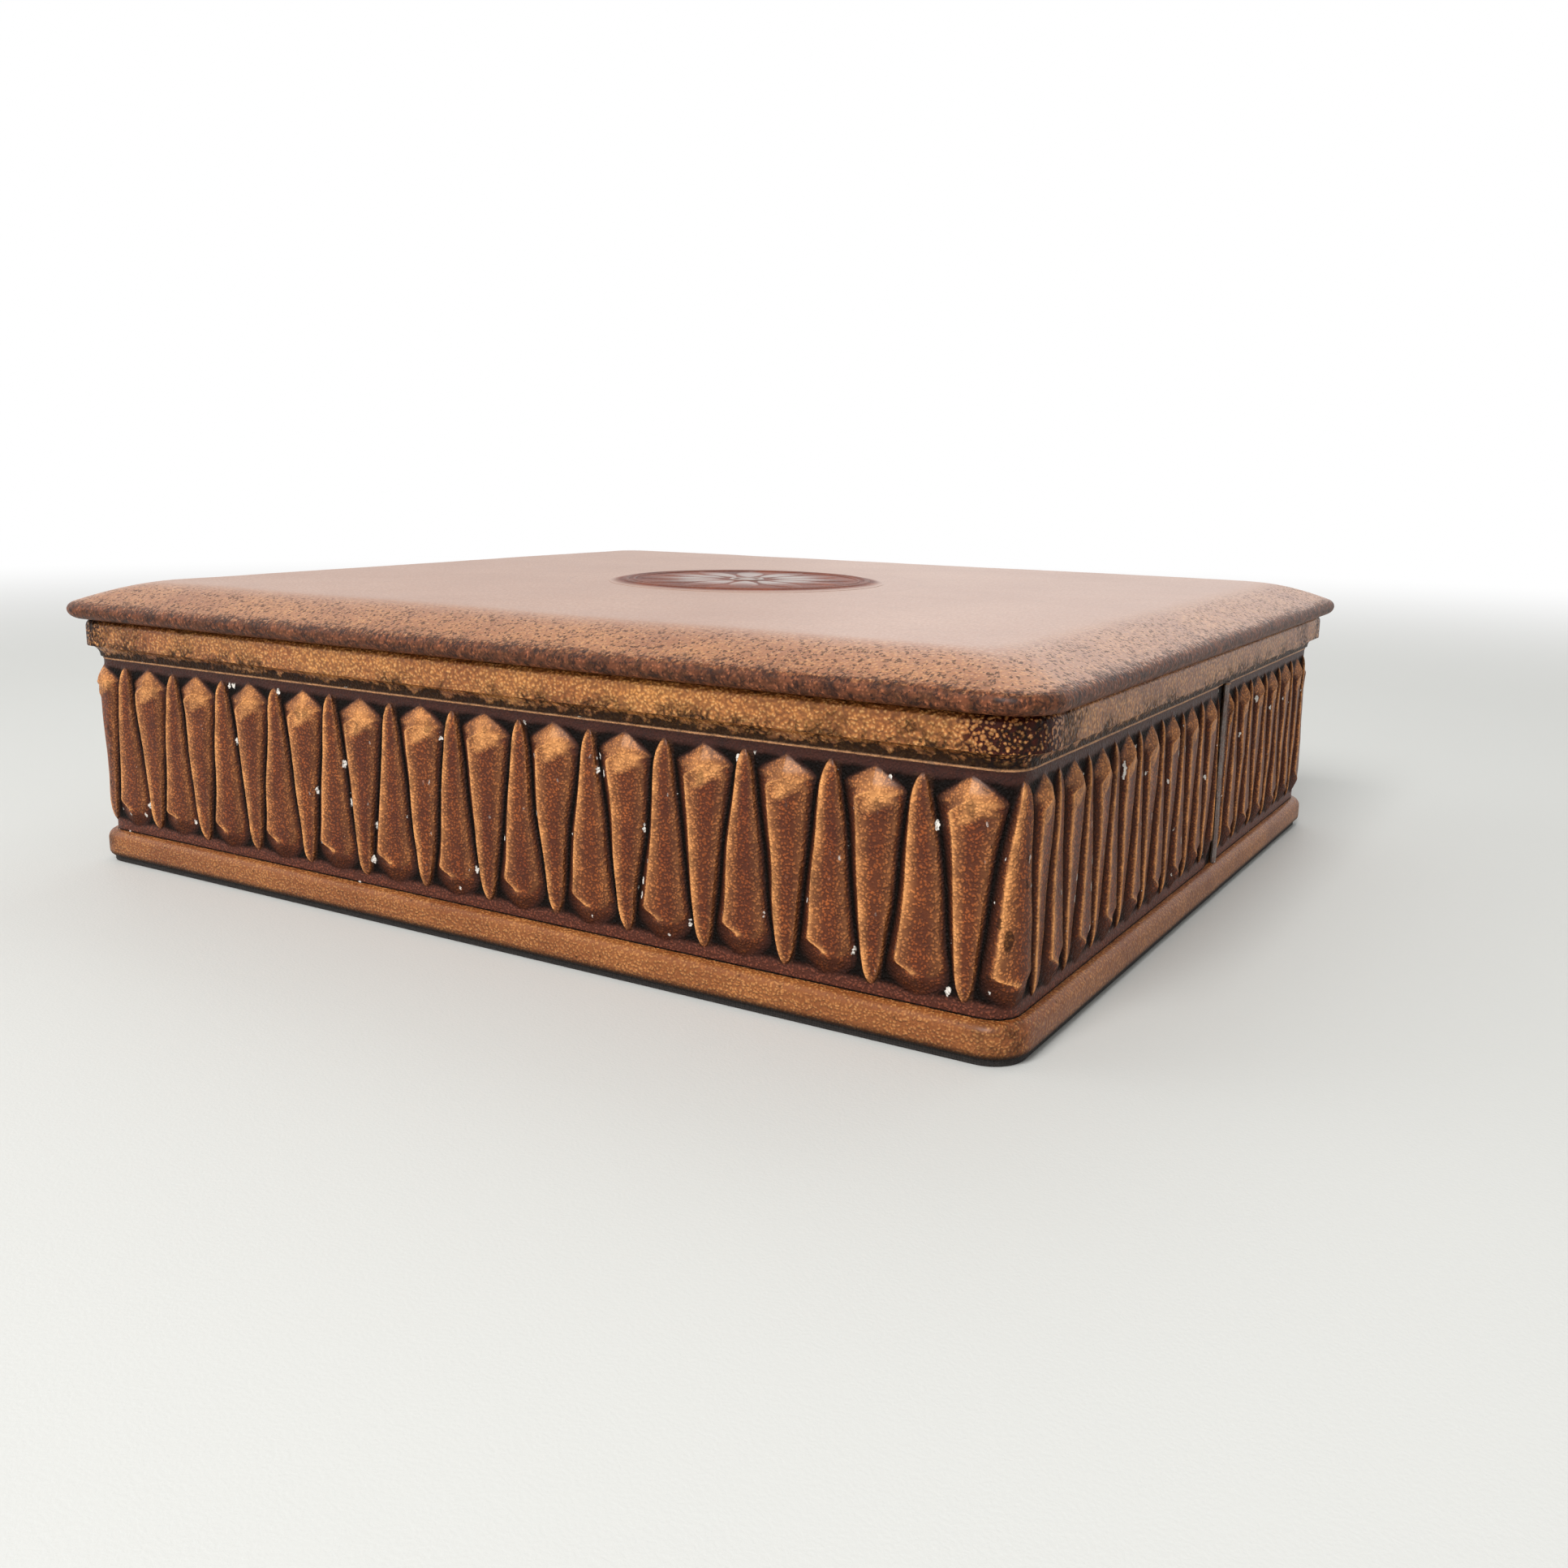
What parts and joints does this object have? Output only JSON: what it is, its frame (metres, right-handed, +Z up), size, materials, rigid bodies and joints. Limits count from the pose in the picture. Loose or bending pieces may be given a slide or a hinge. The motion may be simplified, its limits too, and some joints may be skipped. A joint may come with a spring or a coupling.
{
  "type": "stationery box",
  "caption": "Low rectangular stationery box: wooden case under tooled leather, faceted dart frieze between rounded mouldings, and a padded overhanging lid that lifts off.",
  "frame": {"origin": "centre of the underside, on the surface that the box stands on", "axes": "+X along the long front to the right, front faces -Y, +Z up"},
  "size_m": [0.3484, 0.3094, 0.0956],
  "materials": {
    "bottom_cloth": "black bookbinder's cloth, matt",
    "case_wood": "plain sawn poplar, unfinished, hidden under leather and lining",
    "batten_wood": "planed softwood batten, hidden under leather",
    "lid_wood": "thin plywood and planed rails",
    "pin_steel": "bright panel pins, hidden",
    "leather_base": "golden tan pebbled calf, waxed, scuffed at the corners",
    "leather_rim": "golden tan calf with black age cracks and specks, waxed",
    "leather_frieze": "moulded and antiqued leather, golden ridges over dark brown hollows",
    "leather_lid": "tan leather with fine craquelure and a dark handled edge, semi-gloss",
    "leather_medallion": "tooled and dyed leather, dark red with pale worn relief",
    "lining_cloth": "dark red lining paper and cloth, matt",
    "padding": "cotton wadding, hidden"
  },
  "bodies": {
    "case": {"bottom_cover": "bottom_cloth", "bottom_board": "case_wood", "front_wall": "case_wood", "back_wall": "case_wood", "left_wall": "case_wood", "right_wall": "case_wood", "corner_pins": "pin_steel", "base_batten_front": "batten_wood", "base_batten_right": "batten_wood", "base_batten_back": "batten_wood", "base_batten_left": "batten_wood", "base_leather": "leather_base", "rim_batten_front": "batten_wood", "rim_batten_right": "batten_wood", "rim_batten_back": "batten_wood", "rim_batten_left": "batten_wood", "rim_leather": "leather_rim", "frieze_strip_front": "leather_frieze", "frieze_strip_rear": "leather_frieze", "floor_lining": "lining_cloth", "front_lining": "lining_cloth", "back_lining": "lining_cloth", "left_lining": "lining_cloth", "right_lining": "lining_cloth"},
    "lid": {"lid_board": "lid_wood", "lid_padding": "padding", "lid_leather": "leather_lid", "lid_medallion": "leather_medallion", "lid_lining": "lining_cloth", "locating_rail_front": "lid_wood", "locating_rail_right": "lid_wood", "locating_rail_back": "lid_wood", "locating_rail_left": "lid_wood"}
  },
  "joints": [
    {"name": "lid_lift", "type": "slide", "parent": "case", "child": "lid", "axis": [0, 0, 1], "range_m": [0, 0.12]}
  ]
}
